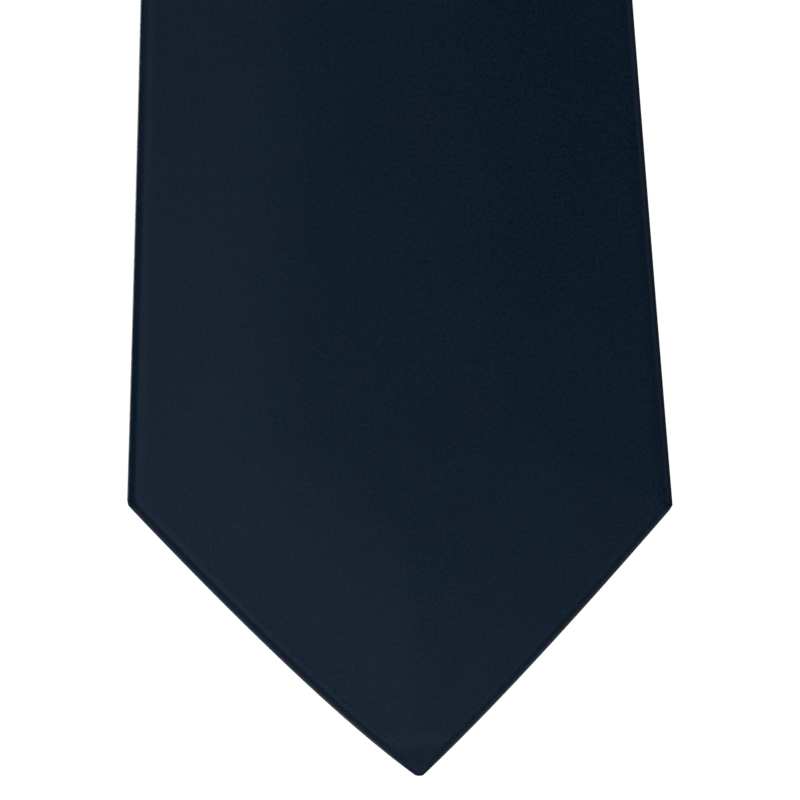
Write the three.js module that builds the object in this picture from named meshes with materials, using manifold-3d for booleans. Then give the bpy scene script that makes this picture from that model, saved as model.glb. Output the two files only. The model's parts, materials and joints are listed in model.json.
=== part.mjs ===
// A long necktie hanging over a rail by its neck, in millimetres, +Z up.
// X runs across the tie and along the rail. The front blade hangs on the -Y side with its face to -Y.
// The narrow tail hangs on the +Y side with its face to +Y. The origin is on the rail's axis.

import * as THREE from 'three';
import { mergeVertices } from 'three/addons/utils/BufferGeometryUtils.js';
import Module from 'manifold-3d';

const wasm = await Module();
wasm.setup();

// ---- Lengths down the tie ----
const frontLength = 880;            // rail axis to the point of the front blade
const tailLength = 580;             // rail axis to the point of the tail
const frontSeamHeight = 700;        // front joining seam above the front point
const tailSeamHeight = 390;         // tail joining seam above the tail point
const tipFoldHeight = 58;           // line on which the point of the front blade turns up
const tailFoldHeight = 285;         // line on which the lower tail turns up

// ---- Widths ----
const neckWidth = 34;
const frontBlade = {
  length: frontLength,
  width: 85,                        // corner to corner
  pointHeight: 43.2,                // corners above the point
  taperLength: 700,                 // from the corners up to the neck width
  taperPower: 1.5,
  pointOffset: 2,                   // hand-pressed point stands a little right of the centre line
  cornerSkew: 1.4,                  // left corner up and right corner down by this much
  leftBulge: 1.3,                   // how far each lower edge bows outwards
  leftBulgeAt: 0.7,
  rightBulge: 0.7,
  rightBulgeAt: 0.35,
};
const tailBlade = {
  length: tailLength,
  width: 43,
  pointHeight: 21.5,
  taperLength: 330,
  taperPower: 1.3,
  pointOffset: 0,
  cornerSkew: 0,
  leftBulge: 0.3,
  leftBulgeAt: 0.5,
  rightBulge: 0.3,
  rightBulgeAt: 0.5,
};

// ---- Cloth thicknesses and clearances ----
const shellWall = 0.5;
const shellSideWall = 0.8;          // cloth turned round the pressed edge
const interliningThickness = 1.3;
const pliedThickness = 0.7;         // brushed second ply of the front blade
const tippingThickness = 0.3;
const layerGap = 0.3;
const meshGap = 0.3;
const edgeRound = 1;
const cornerNick = 0.85;            // how far each corner of the outline is cut back along its sides
const bowedEdgeParts = 5;           // straight parts in each bowed lower edge
const sideStations = 16;            // points up each side of a leg's outline
const sideOverrun = 5;              // the outline runs this far past the rail before it is cut off

// ---- The envelope's back ----
const frontHem = 10;                // turned-up hem along the point
const tailHem = 7;
const frontOpeningTop = 108;        // where the two flaps meet above the front point
const frontOpeningHalfWidth = 30;   // half the opening at the corners' height
const tailOpeningTop = 62;
const tailOpeningHalfWidth = 14;
const seamSlit = 1.4;               // gap between the flaps, closed by the slip stitch
const slitOverlap = 4;              // the gap starts this far below the top of the opening
const frontPlyTop = 450;
const frontTippingTop = 150;
const tailTippingTop = 92;

// ---- Rail, thread and trims ----
const railRadius = 6;               // inside radius of the neck fold
const neckFoldSegments = 14;
const threadRadius = 0.35;
const threadSides = 8;
const threadStep = 6.6;             // straight stretches the front thread's curve is drawn in
const threadLoopLong = 18;          // spare loop below the bar tack
const threadLoopHalfWidth = 2;
const threadLoopEnd = 11;           // cut end of the thread, below the bar tack
const threadLoopTurn = 3;           // height of the turn at the bottom of the loop
const threadLoopNeck = 5;           // the thread is back on the centre line this far below the bar tack
const threadJog = 20;               // half the stretch in which the thread moves from blade to neck depth
const barTackHeight = 112;
const tailBarTackHeight = 66;
const barTackWidth = 11;
const tailBarTackWidth = 7;
const barTackTall = 1.6;
const barTackThickness = 0.6;
const keeperHeight = 190;           // lower edge of the keeper loop above the front point
const keeperTall = 22;
const keeperSpan = 19;              // half the bowed stretch
const keeperFoot = 5;               // tacked foot at each end
const keeperRise = 5.2;
const keeperThickness = 0.8;
const keeperTackTall = 16;
const keeperTackWidth = 0.9;
const keeperTackThickness = 0.5;
const labelTopHeight = 170;
const labelTall = 38;
const labelWidth = 22;
const labelThickness = 0.4;
const labelStitchWidth = 18;
const labelStitchTall = 0.8;

// ---- Depths across the tie, the same for both legs, counted from the rail's axis outwards ----
const envelopeThickness = 2 * shellWall + interliningThickness + tippingThickness + 3 * layerGap;
const faceDepth = railRadius + envelopeThickness;
const interliningOuter = faceDepth - shellWall - layerGap;
const interliningInner = interliningOuter - interliningThickness;
const tailTippingOuter = interliningInner - layerGap;
const plyOuter = interliningInner - layerGap;
const plyInner = plyOuter - pliedThickness;
const frontTippingOuter = plyInner - layerGap;
const frontTippingInner = frontTippingOuter - tippingThickness;
const bladeBackDepth = frontTippingInner - layerGap - shellWall;
const neckBackDepth = railRadius;

const farAway = 2000;               // larger than the tie, for cutting solids

// ---- Booleans ----

function toManifold(geometry) {
  const bare = geometry.clone();
  bare.deleteAttribute('normal');
  bare.deleteAttribute('uv');
  const merged = mergeVertices(bare, 1e-5);
  const vertProperties = Float32Array.from(merged.attributes.position.array);
  const triVerts = Uint32Array.from(merged.index.array);
  return new wasm.Manifold(new wasm.Mesh({ numProp: 3, vertProperties, triVerts }));
}

function toGeometry(solid) {
  const mesh = solid.getMesh();
  const indexed = new THREE.BufferGeometry();
  indexed.setAttribute('position', new THREE.BufferAttribute(mesh.vertProperties, 3));
  indexed.setIndex(new THREE.BufferAttribute(mesh.triVerts, 1));
  const geometry = indexed.toNonIndexed();
  geometry.computeVertexNormals();
  return geometry;
}

function boxSolid(low, high) {
  const size = new THREE.Vector3().subVectors(high, low);
  const middle = new THREE.Vector3().addVectors(low, high).multiplyScalar(0.5);
  const box = new THREE.BoxGeometry(size.x, size.y, size.z);
  box.translate(middle.x, middle.y, middle.z);
  return toManifold(box);
}

// Keeps the stretch of a solid between two heights.
function between(solid, zLow, zHigh) {
  const low = new THREE.Vector3(-farAway, -farAway, zLow);
  const high = new THREE.Vector3(farAway, farAway, zHigh);
  return solid.intersect(boxSolid(low, high));
}

// A half space above (side 1) or below (side -1) the 45 degree line of a joining seam.
// Half the gap between the two cloths is left out of it.
function seamHalfSpace(seamZ, side) {
  const box = new THREE.BoxGeometry(farAway, farAway, farAway);
  box.translate(0, 0, side * (farAway + meshGap) / 2);
  box.rotateY(-Math.PI / 4);
  box.translate(0, 0, seamZ);
  return toManifold(box);
}

// ---- Outlines, in X and height above the leg's own point, counter-clockwise ----

function halfWidthAt(blade, height) {
  const climbed = Math.max(height - blade.pointHeight, 0) / blade.taperLength;
  const left = Math.max(1 - climbed, 0) ** blade.taperPower;
  return (neckWidth + (blade.width - neckWidth) * left) / 2;
}

function bowedEdge(start, end, bulge, bulgeAt) {
  const along = new THREE.Vector2().subVectors(end, start);
  const outward = new THREE.Vector2(along.y, -along.x).normalize();
  const control = start.clone().addScaledVector(along, bulgeAt).addScaledVector(outward, 2 * bulge);
  return new THREE.QuadraticBezierCurve(start, control, end).getPoints(bowedEdgeParts);
}

// Replaces a sharp corner by a short flat.
function nickCorner(points, index, nick) {
  const corner = points[index];
  const before = points[index - 1].clone().sub(corner).setLength(nick).add(corner);
  const after = points[index + 1].clone().sub(corner).setLength(nick).add(corner);
  points.splice(index, 1, before, after);
}

function bladeCorners(blade) {
  const half = blade.width / 2;
  return {
    leftCorner: new THREE.Vector2(-half, blade.pointHeight + blade.cornerSkew),
    point: new THREE.Vector2(blade.pointOffset, 0),
    rightCorner: new THREE.Vector2(half, blade.pointHeight - blade.cornerSkew),
  };
}

function legOutline(blade) {
  const { leftCorner, point, rightCorner } = bladeCorners(blade);
  const leftEdge = bowedEdge(leftCorner, point, blade.leftBulge, blade.leftBulgeAt);
  const rightEdge = bowedEdge(point, rightCorner, blade.rightBulge, blade.rightBulgeAt);
  const sides = [];
  const climb = blade.length + sideOverrun - blade.pointHeight;
  for (let i = 1; i <= sideStations; i += 1) {
    const height = blade.pointHeight + climb * i / sideStations;
    sides.push(new THREE.Vector2(halfWidthAt(blade, height), height));
  }
  const mirrored = sides.map((p) => new THREE.Vector2(-p.x, p.y)).reverse();
  const points = [...mirrored, ...leftEdge, ...rightEdge.slice(1), ...sides];
  nickCorner(points, mirrored.length + leftEdge.length + rightEdge.length - 2, cornerNick);
  nickCorner(points, mirrored.length + leftEdge.length - 1, cornerNick);
  nickCorner(points, mirrored.length, cornerNick);
  return points;
}

// Moves every side of a counter-clockwise outline inwards and meets the neighbouring sides again.
function insetOutline(points, inset) {
  return points.map((point, i) => {
    const before = points[(i + points.length - 1) % points.length];
    const after = points[(i + 1) % points.length];
    const first = new THREE.Vector2().subVectors(point, before).normalize();
    const second = new THREE.Vector2().subVectors(after, point).normalize();
    const inward = new THREE.Vector2(-first.y - second.y, first.x + second.x);
    const share = inset / (1 + first.dot(second));
    return point.clone().addScaledVector(inward, share);
  });
}

// The wedge above the two hems, reaching well past the top of the opening.
function hemWedge(blade, hem, openingTop) {
  const { leftCorner, point, rightCorner } = bladeCorners(blade);
  const reach = 2 * openingTop / (blade.pointHeight - blade.cornerSkew);
  const ends = [leftCorner, rightCorner].map((corner) => corner.sub(point).multiplyScalar(reach).add(point));
  return insetOutline([ends[0], point, ends[1]], hem);
}

// An outline extruded between two depths of one leg, with rounded edges if asked.
// side is -1 for the front leg and 1 for the tail leg.
function slab(points, blade, side, innerDepth, outerDepth, round = 0) {
  const options = { depth: outerDepth - innerDepth - 2 * round, bevelEnabled: round > 0, curveSegments: 1 };
  if (round > 0) {
    options.bevelThickness = round;
    options.bevelSize = round;
    options.bevelOffset = -round;
    options.bevelSegments = 2;
  }
  const geometry = new THREE.ExtrudeGeometry(new THREE.Shape(points), options);
  geometry.rotateX(Math.PI / 2);
  const outermostY = side < 0 ? -innerDepth - round : outerDepth - round;
  geometry.translate(0, outermostY, -blade.length);
  return toManifold(geometry);
}

// ---- One leg's envelope: face, turned sides and back flaps, open at the point and along the seam ----

function envelope(blade, side, backDepth, hem, openingTop, openingHalfWidth) {
  const outline = legOutline(blade);
  const outer = slab(outline, blade, side, backDepth, faceDepth, edgeRound);
  const hollowOutline = insetOutline(outline, shellSideWall).map((p) => {
    const throughTop = p.y > blade.length ? farAway : 0;
    return new THREE.Vector2(p.x, p.y + throughTop);
  });
  const hollow = slab(hollowOutline, blade, side, backDepth + shellWall, faceDepth - shellWall);
  const flare = openingHalfWidth / (openingTop - blade.pointHeight);
  const openingV = [
    new THREE.Vector2(0, openingTop),
    new THREE.Vector2(-flare * openingTop, 0),
    new THREE.Vector2(flare * openingTop, 0),
  ];
  const cutInner = backDepth - shellWall;
  const cutOuter = backDepth + 2 * shellWall;
  const withinHem = slab(hemWedge(blade, hem, openingTop), blade, side, cutInner, cutOuter);
  const opening = slab(openingV, blade, side, cutInner, cutOuter).intersect(withinHem);
  const slitOutline = [
    new THREE.Vector2(-seamSlit / 2, openingTop - slitOverlap),
    new THREE.Vector2(seamSlit / 2, openingTop - slitOverlap),
    new THREE.Vector2(seamSlit / 2, blade.length + farAway),
    new THREE.Vector2(-seamSlit / 2, blade.length + farAway),
  ];
  const slit = slab(slitOutline, blade, side, cutInner, cutOuter);
  return outer.subtract(hollow).subtract(opening).subtract(slit);
}

// One flat layer that lies inside the envelope.
function innerLayer(blade, side, innerDepth, outerDepth) {
  const outline = insetOutline(legOutline(blade), shellSideWall + layerGap);
  return slab(outline, blade, side, innerDepth, outerDepth);
}

// ---- The neck fold over the rail ----

// Half a ring over the rail, width wide. overrun is the angle by which a cutting ring runs past both ends.
function halfRing(innerRadius, outerRadius, width, overrun = 0) {
  const shape = new THREE.Shape();
  shape.absarc(0, 0, outerRadius, -overrun, Math.PI + overrun, false);
  shape.absarc(0, 0, innerRadius, Math.PI + overrun, -overrun, true);
  const options = { depth: width, bevelEnabled: false, curveSegments: neckFoldSegments };
  const ring = new THREE.ExtrudeGeometry(shape, options);
  ring.translate(0, 0, -width / 2);
  ring.rotateZ(Math.PI / 2);
  ring.rotateY(Math.PI / 2);
  return toManifold(ring);
}

function neckFoldShell() {
  const hollowOverrun = 0.1;
  const slitOverrun = 0.2;
  const outer = halfRing(railRadius, faceDepth, neckWidth);
  const hollow = halfRing(
    railRadius + shellWall, faceDepth - shellWall, neckWidth - 2 * shellSideWall, hollowOverrun,
  );
  const slit = halfRing(railRadius - shellWall, railRadius + 2 * shellWall, seamSlit, slitOverrun);
  const width = neckWidth - 2 * (shellSideWall + layerGap);
  return {
    shell: outer.subtract(hollow).subtract(slit),
    interlining: halfRing(interliningInner, interliningOuter, width),
  };
}

// ---- Thread and small trims ----

function threadAlong(points, steps) {
  const section = new THREE.Shape();
  for (let i = 0; i < threadSides; i += 1) {
    const angle = 2 * Math.PI * i / threadSides;
    const corner = [threadRadius * Math.cos(angle), threadRadius * Math.sin(angle)];
    if (i === 0) section.moveTo(...corner);
    else section.lineTo(...corner);
  }
  const extrudePath = new THREE.CatmullRomCurve3(points);
  return toManifold(new THREE.ExtrudeGeometry(section, { steps, extrudePath }));
}

// A small bar with its middle at x and z, lying between two depths on one side.
function bar(width, tall, x, z, side, innerDepth, outerDepth) {
  const yValues = [side * innerDepth, side * outerDepth].sort((a, b) => a - b);
  const low = new THREE.Vector3(x - width / 2, yValues[0], z - tall / 2);
  const high = new THREE.Vector3(x + width / 2, yValues[1], z + tall / 2);
  return boxSolid(low, high);
}

function keeperLoop() {
  const footDepth = bladeBackDepth - layerGap;
  const bowPoints = 20;
  const inner = [];
  const outer = [];
  for (let i = 0; i <= bowPoints; i += 1) {
    const share = -1 + 2 * i / bowPoints;
    const lift = keeperRise * (1 - share ** 4);
    inner.push(new THREE.Vector2(share * keeperSpan, -footDepth + lift));
    const outerX = share * (keeperSpan + keeperThickness);
    outer.push(new THREE.Vector2(outerX, -footDepth + keeperThickness + lift));
  }
  const end = keeperSpan + keeperFoot;
  const feetRight = [
    new THREE.Vector2(end, -footDepth),
    new THREE.Vector2(end, -footDepth + keeperThickness),
  ];
  const feetLeft = feetRight.map((p) => new THREE.Vector2(-p.x, p.y)).reverse();
  const outline = new THREE.Shape([...inner, ...feetRight, ...outer.reverse(), ...feetLeft]);
  const strap = new THREE.ExtrudeGeometry(outline, { depth: keeperTall, bevelEnabled: false });
  strap.translate(0, 0, keeperHeight - frontLength);
  return toManifold(strap);
}

// ---- Materials ----

function cloth(name, color, roughness) {
  return { name, color, roughness, metalness: 0 };
}
const navyTwill = cloth('navy_twill', 0x172430, 0.78);
const navyLining = cloth('navy_lining', 0x1c2a3c, 0.5);
const woolCanvas = cloth('wool_canvas', 0xcfc7b4, 0.95);
const brushedPly = cloth('brushed_ply', 0xe4ded0, 0.98);
const labelSatin = cloth('label_satin', 0xe9e6dd, 0.45);
const navyThread = cloth('navy_thread', 0x1a2735, 0.7);

const tie = new THREE.Group();
tie.name = 'necktie';

function addPiece(name, solid, material) {
  const mesh = new THREE.Mesh(toGeometry(solid), new THREE.MeshStandardMaterial(material));
  mesh.name = name;
  tie.add(mesh);
}

// ---- Front leg ----

const halfGap = meshGap / 2;
const tipFoldZ = tipFoldHeight - frontLength;
const frontSeamZ = frontSeamHeight - frontLength;
const bladeEnvelope = envelope(
  frontBlade, -1, bladeBackDepth, frontHem, frontOpeningTop, frontOpeningHalfWidth,
);
const frontNeckEnvelope = envelope(
  frontBlade, -1, neckBackDepth, frontHem, frontOpeningTop, frontOpeningHalfWidth,
);
const bladeBody = between(bladeEnvelope, tipFoldZ + halfGap, 0).intersect(seamHalfSpace(frontSeamZ, -1));
const neckFront = between(frontNeckEnvelope, tipFoldZ, -meshGap).intersect(seamHalfSpace(frontSeamZ, 1));
const frontInterlining = innerLayer(frontBlade, -1, interliningInner, interliningOuter);
const frontPly = innerLayer(frontBlade, -1, plyInner, plyOuter);
const frontTipping = innerLayer(frontBlade, -1, frontTippingInner, frontTippingOuter);

addPiece('blade_shell', bladeBody, navyTwill);
addPiece('blade_interlining', between(frontInterlining, tipFoldZ + halfGap, -meshGap), woolCanvas);
addPiece('blade_brushed_ply', between(frontPly, tipFoldZ + halfGap, frontPlyTop - frontLength), brushedPly);
const tippingTopZ = frontTippingTop - frontLength;
addPiece('blade_tipping', between(frontTipping, tipFoldZ + halfGap, tippingTopZ), navyLining);
addPiece('neck_shell_front', neckFront, navyTwill);

// ---- Point of the front blade, below its fold line ----

addPiece('tip_shell', between(bladeEnvelope, -farAway, tipFoldZ - halfGap), navyTwill);
addPiece('tip_interlining', between(frontInterlining, -farAway, tipFoldZ - halfGap), woolCanvas);
addPiece('tip_brushed_ply', between(frontPly, -farAway, tipFoldZ - halfGap), brushedPly);
addPiece('tip_tipping', between(frontTipping, -farAway, tipFoldZ - halfGap), navyLining);

// ---- Neck fold over the rail ----

const neckFold = neckFoldShell();
addPiece('neck_shell_fold', neckFold.shell, navyTwill);
addPiece('neck_interlining_fold', neckFold.interlining, woolCanvas);

// ---- Tail leg ----

const tailFoldZ = tailFoldHeight - tailLength;
const tailSeamZ = tailSeamHeight - tailLength;
const tailEnvelope = envelope(tailBlade, 1, neckBackDepth, tailHem, tailOpeningTop, tailOpeningHalfWidth);
const tailInterlining = innerLayer(tailBlade, 1, interliningInner, interliningOuter);
const tailTipping = innerLayer(tailBlade, 1, tailTippingOuter - tippingThickness, tailTippingOuter);
const tailNeck = between(tailEnvelope, -farAway, -meshGap).intersect(seamHalfSpace(tailSeamZ, 1));
const tailUpper = between(tailEnvelope, tailFoldZ + halfGap, 0).intersect(seamHalfSpace(tailSeamZ, -1));

addPiece('neck_shell_tail', tailNeck, navyTwill);
addPiece('tail_shell', tailUpper, navyTwill);
addPiece('tail_interlining', between(tailInterlining, tailFoldZ + halfGap, -meshGap), woolCanvas);
addPiece('tail_end_shell', between(tailEnvelope, -farAway, tailFoldZ - halfGap), navyTwill);
addPiece('tail_end_interlining', between(tailInterlining, -farAway, tailFoldZ - halfGap), woolCanvas);
addPiece('tail_end_tipping', between(tailTipping, -farAway, tailTippingTop - tailLength), navyLining);

// ---- Slip stitch up the centre back, with its spare loop below the front bar tack ----

const bladeThreadY = -(bladeBackDepth + shellWall / 2);
const neckThreadY = -(neckBackDepth + shellWall / 2);
const loopTop = barTackHeight - frontLength;
const loopTurnZ = loopTop - threadLoopLong + threadLoopTurn;
const frontThread = [
  new THREE.Vector3(threadLoopHalfWidth * 0.6, bladeThreadY, loopTop - threadLoopEnd),
  new THREE.Vector3(threadLoopHalfWidth, bladeThreadY, loopTurnZ),
  new THREE.Vector3(0, bladeThreadY, loopTop - threadLoopLong),
  new THREE.Vector3(-threadLoopHalfWidth, bladeThreadY, loopTurnZ),
  new THREE.Vector3(-threadLoopHalfWidth * 0.4, bladeThreadY, loopTop - threadLoopLong / 2),
  new THREE.Vector3(0, bladeThreadY, loopTop - threadLoopNeck),
  new THREE.Vector3(0, bladeThreadY, loopTop),
  new THREE.Vector3(0, bladeThreadY, (loopTop + frontSeamZ) / 2),
  new THREE.Vector3(0, bladeThreadY, frontSeamZ - threadJog),
  new THREE.Vector3(0, neckThreadY, frontSeamZ + threadJog),
  new THREE.Vector3(0, neckThreadY, -meshGap),
];
const tailThread = [
  new THREE.Vector3(0, -neckThreadY, -meshGap),
  new THREE.Vector3(0, -neckThreadY, tailFoldZ + halfGap),
];
const tailEndThread = [
  new THREE.Vector3(0, -neckThreadY, tailFoldZ - halfGap),
  new THREE.Vector3(0, -neckThreadY, tailOpeningTop - tailLength),
];
const foldThread = [];
for (let i = 0; i <= neckFoldSegments; i += 1) {
  const angle = Math.PI * i / neckFoldSegments;
  foldThread.push(new THREE.Vector3(0, neckThreadY * Math.cos(angle), -neckThreadY * Math.sin(angle)));
}
const frontThreadSteps = Math.round(new THREE.CatmullRomCurve3(frontThread).getLength() / threadStep);
addPiece('blade_slip_stitch', threadAlong(frontThread, frontThreadSteps), navyThread);
addPiece('neck_slip_stitch', threadAlong(foldThread, 2 * neckFoldSegments), navyThread);
addPiece('tail_slip_stitch', threadAlong(tailThread, 12), navyThread);
addPiece('tail_end_slip_stitch', threadAlong(tailEndThread, 12), navyThread);

// ---- Bar tacks ----

const frontTackZ = barTackHeight - frontLength;
const tailTackZ = tailBarTackHeight - tailLength;
const frontTackDepth = bladeBackDepth - layerGap;
const tailTackDepth = neckBackDepth - layerGap;
addPiece(
  'blade_bar_tack',
  bar(barTackWidth, barTackTall, 0, frontTackZ, -1, frontTackDepth - barTackThickness, frontTackDepth),
  navyThread,
);
addPiece(
  'tail_bar_tack',
  bar(tailBarTackWidth, barTackTall, 0, tailTackZ, 1, tailTackDepth - barTackThickness, tailTackDepth),
  navyThread,
);

// ---- Keeper loop with a tack over each foot ----

addPiece('keeper_loop', keeperLoop(), navyTwill);
const keeperTackDepth = bladeBackDepth - layerGap - keeperThickness - layerGap;
const keeperMiddleZ = keeperHeight + keeperTall / 2 - frontLength;
for (const [name, direction] of [['keeper_tack_left', -1], ['keeper_tack_right', 1]]) {
  const x = direction * (keeperSpan + keeperThickness + keeperFoot / 2);
  const inner = keeperTackDepth - keeperTackThickness;
  const tack = bar(keeperTackWidth, keeperTackTall, x, keeperMiddleZ, -1, inner, keeperTackDepth);
  addPiece(name, tack, navyThread);
}

// ---- Blank care label, whipped to the back along its top edge ----

const labelOuter = bladeBackDepth - layerGap;
const labelInner = labelOuter - labelThickness;
const labelZ = labelTopHeight - labelTall / 2 - frontLength;
const labelStitchZ = labelTopHeight + meshGap + labelStitchTall / 2 - frontLength;
addPiece('care_label', bar(labelWidth, labelTall, 0, labelZ, -1, labelInner, labelOuter), labelSatin);
addPiece(
  'label_stitch',
  bar(labelStitchWidth, labelStitchTall, 0, labelStitchZ, -1, labelInner, labelOuter),
  navyThread,
);

export default tie;
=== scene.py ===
"""A lined necktie hung over a rail by its neck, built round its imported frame, in metres with Z up."""

import json
import math

import bpy
import numpy as np
from mathutils import Matrix, Vector


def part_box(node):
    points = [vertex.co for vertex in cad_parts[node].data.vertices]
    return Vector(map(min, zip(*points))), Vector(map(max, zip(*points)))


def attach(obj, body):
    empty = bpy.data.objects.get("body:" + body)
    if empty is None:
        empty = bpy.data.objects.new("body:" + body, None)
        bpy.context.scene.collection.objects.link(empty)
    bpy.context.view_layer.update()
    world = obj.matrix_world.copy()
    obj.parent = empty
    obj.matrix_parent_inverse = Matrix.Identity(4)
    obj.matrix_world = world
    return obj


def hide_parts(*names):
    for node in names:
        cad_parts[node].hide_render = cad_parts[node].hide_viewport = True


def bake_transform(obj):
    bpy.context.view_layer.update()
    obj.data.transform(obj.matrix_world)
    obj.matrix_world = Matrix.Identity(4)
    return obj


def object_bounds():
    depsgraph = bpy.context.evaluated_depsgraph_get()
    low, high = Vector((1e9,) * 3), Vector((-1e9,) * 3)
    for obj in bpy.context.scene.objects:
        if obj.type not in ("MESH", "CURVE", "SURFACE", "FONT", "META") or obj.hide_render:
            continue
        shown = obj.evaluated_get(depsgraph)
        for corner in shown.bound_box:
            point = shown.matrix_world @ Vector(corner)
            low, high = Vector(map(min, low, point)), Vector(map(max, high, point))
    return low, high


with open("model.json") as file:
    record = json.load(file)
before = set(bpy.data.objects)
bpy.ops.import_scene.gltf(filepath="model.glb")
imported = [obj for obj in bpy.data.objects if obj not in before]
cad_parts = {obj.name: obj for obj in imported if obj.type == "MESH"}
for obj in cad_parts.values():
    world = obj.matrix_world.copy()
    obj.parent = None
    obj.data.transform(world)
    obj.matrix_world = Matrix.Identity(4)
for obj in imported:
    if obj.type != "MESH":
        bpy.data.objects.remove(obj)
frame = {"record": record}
cad_low, cad_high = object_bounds()

# ---- Camera ----
# A long lens level with the point of the front blade, square to its face, with the tie hanging a little
# askew.

LENS = 135
SENSOR = 36
FRAME_WIDTH = 0.1245
CAMERA_ROLL = math.radians(-1.537)
CAMERA_X = 0.0005
CAMERA_Z = cad_low.z + 0.0587

camera_data = bpy.data.cameras.new("camera")
camera_data.lens = LENS
camera_data.sensor_width = SENSOR
camera_data.clip_start = 0.01
camera_data.clip_end = 20
camera = bpy.data.objects.new("camera", camera_data)
camera_distance = FRAME_WIDTH * LENS / SENSOR
camera.matrix_world = (
    Matrix.Translation((CAMERA_X, cad_low.y - camera_distance, CAMERA_Z))
    @ Matrix.Rotation(math.pi / 2, 4, "X")
    @ Matrix.Rotation(CAMERA_ROLL, 4, "Z")
)
bpy.context.scene.collection.objects.link(camera)
bpy.context.scene.camera = camera

# ---- Front blade cloth ----
# One bias-cut piece of navy silk twill, pressed into a flat envelope round the interlining. Its two flaps
# meet up the centre back, part in a V above the point, and are turned under; the point's own edges are
# turned up as a hem.

CLOTH = 0.00035                     # thickness of the silk
EDGE_THINNING = 0.30                # how much thinner the tie is at its pressed edges than in the middle
THINNING_REACH = 0.028
RETURN_LONG = 0.005                 # cloth turned under along each flap's edge
RETURN_GAP = 0.00006
FLAP_GAP = 0.0002                   # from the centre line to each flap's edge
NICK = 0.0006                       # the frame's point is cut flat this far above the true one
FOLD_REACH = 0.004                  # a reach either side of a fold across the cloth; no bend uses it
DRIFT = 0.0005                      # how far the hanging cloth wanders in and out
DRIFT_TWIST = 0.010                 # and how far it twists, for each metre out from the centre line
THINS_FROM, THINS_OVER = 0.63, 0.06  # the blade's back starts to come in at this height, over this length
POINT_WIDE, POINT_NARROW = 0.016, 0.002  # the point thins below the first width and closes below the second

face_depth = -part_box("blade_shell")[0].y
blade_back = -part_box("blade_shell")[1].y
neck_back = -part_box("neck_shell_front")[1].y
rail_mid = (face_depth + neck_back) / 2
half_turn = math.pi * rail_mid
front_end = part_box("tip_shell")[0].z - NICK
tail_end = half_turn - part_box("tail_end_shell")[0].z + NICK
neck_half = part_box("neck_shell_fold")[1].x
fold_z = {joint["name"]: joint["pos_m"][2] for joint in frame["record"]["behaviour"]["joints"]}
tip_fold_height = fold_z["tip_fold"] - front_end
tail_fold_height = fold_z["tail_fold"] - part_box("tail_end_shell")[0].z

blade = {
    "corner": 0.0427, "point_height": 0.0428, "point_x": 0.002, "skew": 0.0014,
    "left_bulge": 0.0013, "left_at": 0.7, "right_bulge": 0.0007, "right_at": 0.35,
    "taper": 0.7, "power": 1.5, "left_round": 0.0002, "right_round": 0.00005, "tip_round": 0.0008,
    "hem": 0.010, "v_top": 0.108, "v_half": 0.030, "back": blade_back,
}


def smooth(t):
    """Cubic step: three t squared less two t cubed, with t held between 0 and 1."""
    t = np.clip(t, 0, 1)
    return t * t * (3 - 2 * t)


def place(x, depth, s):
    """Points from a distance across, a depth out from the rail's axis and a distance s along the tie.
    Below 0, s hangs down the front leg; up to the half turn it goes round the rail at an angle of s over the
    radius; past it, it hangs down the tail. Hanging cloth drifts in and out by slow sines of its drop."""
    x, depth, s = np.broadcast_arrays(x, depth, s)
    angle = np.clip(s / rail_mid, 0, math.pi)
    drop = -np.minimum(s, 0) - np.minimum(half_turn - s, 0)
    fade = smooth((drop - 0.05) / 0.12)
    wave = DRIFT * np.sin(drop / 0.052 + 1.2) + DRIFT_TWIST * x * np.sin(drop / 0.083 + 0.5)
    out = depth + fade * wave
    return np.stack([x, -out * np.cos(angle), out * np.sin(angle) - drop], axis=-1)


def side_half(leg, h):
    """Half the width at height h: the neck's half plus what is left of the taper raised to its power."""
    left = np.clip(1 - (h - leg["point_height"]) / leg["taper"], 0, None) ** leg["power"]
    return neck_half + (leg["corner"] - neck_half) * left


def edge_x(leg, h, side):
    """X of a lower edge at height h: a quadratic Bezier from the point to the corner, then straight on."""
    start = np.array([leg["point_x"], 0.0])
    end = np.array([side * leg["corner"], leg["point_height"] - side * leg["skew"]])
    bulge, at = (leg["right_bulge"], leg["right_at"]) if side > 0 else (leg["left_bulge"], 1 - leg["left_at"])
    along = end - start
    outward = side * np.array([along[1], -along[0]]) / np.linalg.norm(along)
    control = start + along * at + outward * 2 * bulge
    t = np.linspace(0, 1, 200)[:, None]
    curve = (1 - t) ** 2 * start + 2 * t * (1 - t) * control + t * t * end
    slope = (end[0] - control[0]) / (end[1] - control[1])
    beyond = end[0] + (h - end[1]) * slope
    return np.where(h > end[1], beyond, np.interp(h, curve[:, 1], curve[:, 0]))


def soft_min(a, b, k):
    """The lesser of two values, rounded where they cross: half of a plus b less the root of (a-b)^2 + k^2."""
    return (a + b - np.sqrt((a - b) ** 2 + k * k)) / 2


def outline(leg, h):
    """Left and right edges at height h: each the lesser of the lower edge and the side, with an arc at
    the point. The lower edges and the side come back too."""
    lower = [-edge_x(leg, h, -1), edge_x(leg, h, 1)]
    side = side_half(leg, h)
    reach = [
        soft_min(lower[0], side, leg["left_round"]),
        soft_min(lower[1], side, leg["right_round"]),
    ]
    r = leg["tip_round"]
    arc = np.sqrt(np.clip(r * r - (r * math.sqrt(2) - h) ** 2, 0, None))
    in_arc = h < r / math.sqrt(2)
    left = np.where(in_arc, leg["point_x"] - arc, -reach[0])
    right = np.where(in_arc, leg["point_x"] + arc, reach[1])
    return left, right, lower, side


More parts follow.
